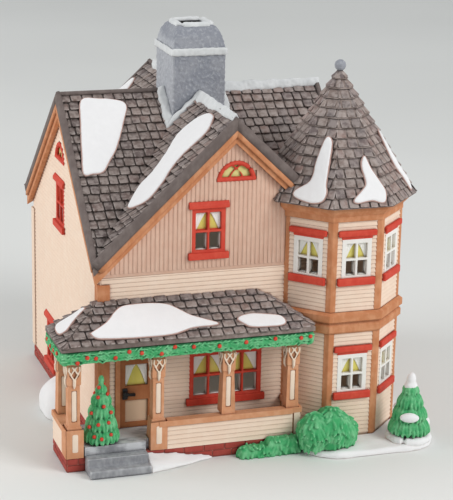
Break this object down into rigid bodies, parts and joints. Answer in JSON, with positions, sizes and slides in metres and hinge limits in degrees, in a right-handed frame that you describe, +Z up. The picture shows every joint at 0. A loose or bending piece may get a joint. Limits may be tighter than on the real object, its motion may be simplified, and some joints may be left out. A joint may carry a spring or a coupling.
{
  "type": "ceramic christmas village house",
  "caption": "Lit porcelain village house with a cross-gable shingled roof, an octagonal tower, a wrapped porch with a garland, and a clip-in lamp at the back.",
  "frame": {"origin": "on the surface that the house stands on, straight below the chimney", "axes": "+X to the right of the front, +Y to the back, +Z up"},
  "size_m": [0.1901, 0.1896, 0.1996],
  "materials": {
    "cream_siding": "matte painted bisque, cream clapboards",
    "gable_boards": "matte painted bisque, pinkish tan boards",
    "roof_shingle": "matte painted bisque, grey-brown shingles",
    "trim_brown": "matte painted bisque, orange-brown trim",
    "window_red": "matte painted bisque, red-orange windows",
    "sash_white": "matte painted bisque, white sashes",
    "chimney_grey": "matte painted bisque, blue-grey stucco",
    "snow_white": "matte painted bisque, white snow",
    "brick_red": "matte painted bisque, dark red brick",
    "porch_grey": "matte painted bisque, grey floor and steps",
    "evergreen": "matte painted bisque, green",
    "door_brown": "matte painted bisque, brown door",
    "door_curtain": "matte painted bisque, curtained pane",
    "lock_black": "black paint",
    "bare_bisque": "unpainted bisque",
    "lamp_plastic": "white moulded plastic",
    "spring_steel": "spring steel",
    "bulb_brass": "screw cap",
    "bulb_glass": "clear glass"
  },
  "bodies": {
    "house": {"front_wall": "cream_siding", "left_wall": "cream_siding", "right_wall": "cream_siding", "back_wall": "cream_siding", "base_plate": "bare_bisque", "corner_boards": "trim_brown", "gable_fascias": "trim_brown", "front_gable_window": "window_red", "front_fan_window": "window_red", "porch_window": "window_red", "side_windows": "window_red", "side_fan_windows": "window_red", "door_leaf": "door_brown", "door_casing": "trim_brown", "door_pane": "door_curtain", "door_lock": "lock_black", "front_roof": "roof_shingle", "left_roof": "roof_shingle", "right_roof": "roof_shingle", "back_roof": "roof_shingle", "chimney": "chimney_grey", "chimney_snow": "snow_white", "ridge_snow": "snow_white", "roof_snow": "snow_white", "tower_lower_wall": "cream_siding", "tower_upper_wall": "cream_siding", "tower_belt": "trim_brown", "tower_crown": "trim_brown", "tower_corner_boards": "trim_brown", "tower_sashes": "sash_white", "tower_window_heads": "window_red", "tower_window_sills": "window_red", "tower_roof": "roof_shingle", "tower_finial": "chimney_grey", "tower_snow": "snow_white", "porch_plinth": "brick_red", "porch_floor": "porch_grey", "porch_post_1": "trim_brown", "porch_post_2": "trim_brown", "porch_post_3": "trim_brown", "porch_post_4": "trim_brown", "porch_post_5": "trim_brown", "porch_half_walls": "cream_siding", "porch_rails": "trim_brown", "porch_roof": "roof_shingle", "porch_garland": "evergreen", "porch_steps": "porch_grey", "porch_snow": "snow_white", "porch_tree": "evergreen", "yard_snow": "snow_white", "yard_pine": "evergreen", "pine_snow": "snow_white", "yard_bushes": "evergreen", "porch_hedge": "evergreen", "snow_heaps": "snow_white"},
    "lamp": {"lamp_holder": "lamp_plastic", "lamp_clip": "spring_steel"},
    "bulb": {"bulb_cap": "bulb_brass", "bulb_glass": "bulb_glass"}
  },
  "joints": [
    {"name": "lamp_slide", "type": "slide", "parent": "house", "child": "lamp", "axis": [0, 1, 0], "range_m": [0, 0.075]},
    {"name": "bulb_turn", "type": "hinge", "parent": "lamp", "child": "bulb", "pos_m": [0, 0.048, 0.04], "axis": [0, 1, 0], "continuous": true}
  ]
}
